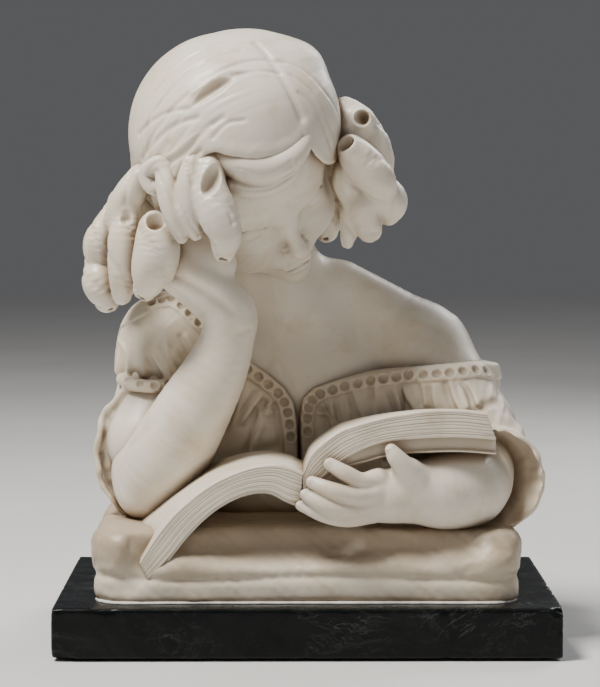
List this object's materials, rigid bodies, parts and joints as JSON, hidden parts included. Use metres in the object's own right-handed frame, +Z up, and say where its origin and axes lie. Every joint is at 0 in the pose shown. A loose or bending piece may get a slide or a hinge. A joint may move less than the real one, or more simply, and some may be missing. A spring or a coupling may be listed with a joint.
{
  "type": "marble bust",
  "caption": "White marble half-figure of a reading child, head on one hand over an open book, on a carved cushion and a black marble plinth.",
  "frame": {"origin": "under the middle of the plinth, at the underside of the felt pads", "axes": "+Z up, the child faces -Y, +X towards the child's left-hand side"},
  "size_m": [0.4, 0.28, 0.4956],
  "materials": {
    "white_marble": "carved white marble, softly polished, with a warm patina in the hollows",
    "black_marble": "polished black marble with fine grey and white veins and worn arrises",
    "plaster": "rough white plaster",
    "steel": "zinc-plated steel",
    "resin": "cured resin",
    "felt": "dark green felt"
  },
  "bodies": {
    "root": {"plinth": "black_marble", "felt_pads": "felt", "plaster_bedding": "plaster", "fixing_stud": "steel", "washer": "steel", "nut": "steel", "stud_resin": "resin", "cushion_lower": "white_marble", "cushion_upper": "white_marble", "bodice": "white_marble", "torso": "white_marble", "head": "white_marble", "hair": "white_marble", "forelock": "white_marble", "right_temple_curls": "white_marble", "left_temple_curls": "white_marble", "nape_curls": "white_marble", "right_arm": "white_marble", "left_arm": "white_marble", "right_hand": "white_marble", "left_hand": "white_marble", "right_sleeve": "white_marble", "left_sleeve": "white_marble", "book_leaves_left": "white_marble", "book_leaves_right": "white_marble", "book_cover": "white_marble"}
  },
  "joints": []
}
